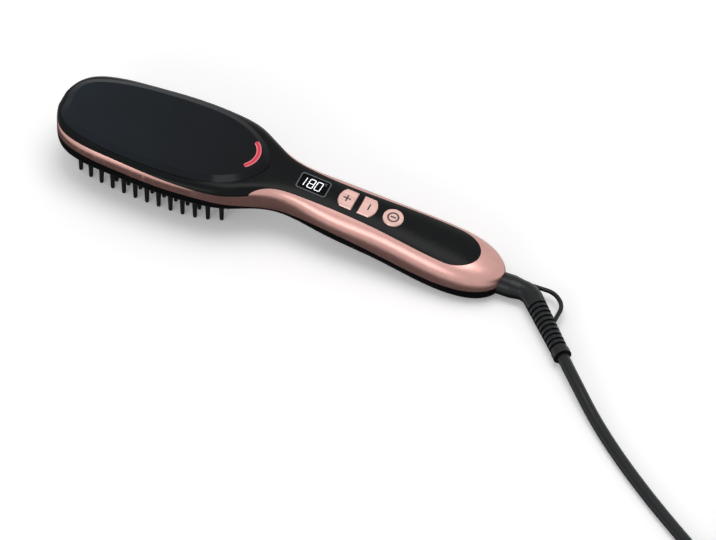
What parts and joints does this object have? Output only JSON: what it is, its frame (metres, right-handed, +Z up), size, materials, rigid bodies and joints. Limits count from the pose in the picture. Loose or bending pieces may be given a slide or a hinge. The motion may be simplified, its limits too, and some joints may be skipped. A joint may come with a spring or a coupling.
{
  "type": "heated straightening brush",
  "caption": "Corded heated straightening brush: oval head with a bristle field under a glossy plate, rose-gold band, sloping handle with display and keys, and a swivelling cord.",
  "frame": {"origin": "under the middle of the brush without its cord, on the surface it lies on", "axes": "+X from the head to the cord, +Z up, bristles down"},
  "size_m": [0.608, 0.2125, 0.0455],
  "materials": {
    "black_shell": "satin",
    "rose_gold": "satin metallic",
    "gloss_plate": "high gloss",
    "red_light": "glowing",
    "bezel_grey": "satin",
    "window_black": "high gloss",
    "key_rose": "brushed",
    "bristle_black": "satin",
    "ceramic_black": "satin",
    "heater_metal": "as cast",
    "heating_ceramic": "matt",
    "board_green": "solder mask",
    "board_parts": "moulded",
    "insulation": "matt",
    "shield_plastic": "moulded",
    "screw_steel": "zinc",
    "wire_cover": "braided",
    "swivel_plastic": "low friction",
    "clip_steel": "spring steel",
    "cord_rubber": "satin",
    "tie_fabric": "woven",
    "plug_plastic": "satin",
    "pin_brass": "nickel plated"
  },
  "bodies": {
    "brush": {"top_cover": "black_shell", "bottom_cover": "black_shell", "side_frame": "rose_gold", "head_plate": "gloss_plate", "light_lens": "red_light", "display_bezel": "bezel_grey", "display_window": "window_black", "guard_bristles": "bristle_black", "bristle_base": "bristle_black", "heated_bristles": "ceramic_black", "heater_plate": "heater_metal", "element_clamp": "heater_metal", "heating_elements": "heating_ceramic", "control_board": "board_green", "power_board": "board_green", "light_board": "board_green", "tact_switches": "board_parts", "display_module": "board_parts", "power_parts": "board_parts", "thermal_fuse": "board_parts", "thermistor": "board_parts", "insulation_sheet": "insulation", "heat_shield": "shield_plastic", "heater_screws": "screw_steel", "case_screws": "screw_steel", "heater_wires": "wire_cover", "swivel_bush": "swivel_plastic"},
    "plus_key": {"plus_button": "key_rose"},
    "minus_key": {"minus_button": "key_rose"},
    "power_key": {"power_button": "key_rose"},
    "swivel_cord": {"strain_relief": "cord_rubber", "hanging_loop": "cord_rubber", "swivel_clip": "clip_steel", "cord_lead": "cord_rubber", "cord_coil": "cord_rubber", "cord_tail": "cord_rubber", "cord_tie": "tie_fabric", "plug_body": "plug_plastic", "plug_pins": "pin_brass"}
  },
  "joints": [
    {"name": "plus_press", "type": "slide", "parent": "brush", "child": "plus_key", "axis": [-0.108, 0, -0.9942], "range_m": [0, 0.0006], "stiffness_N_per_m": 2000},
    {"name": "minus_press", "type": "slide", "parent": "brush", "child": "minus_key", "axis": [-0.108, 0, -0.9942], "range_m": [0, 0.0006], "stiffness_N_per_m": 2000},
    {"name": "power_press", "type": "slide", "parent": "brush", "child": "power_key", "axis": [-0.108, 0, -0.9942], "range_m": [0, 0.0006], "stiffness_N_per_m": 2000},
    {"name": "cord_swivel", "type": "hinge", "parent": "brush", "child": "swivel_cord", "pos_m": [0.1345, 0, 0.0078], "axis": [1, 0, 0], "continuous": true}
  ]
}
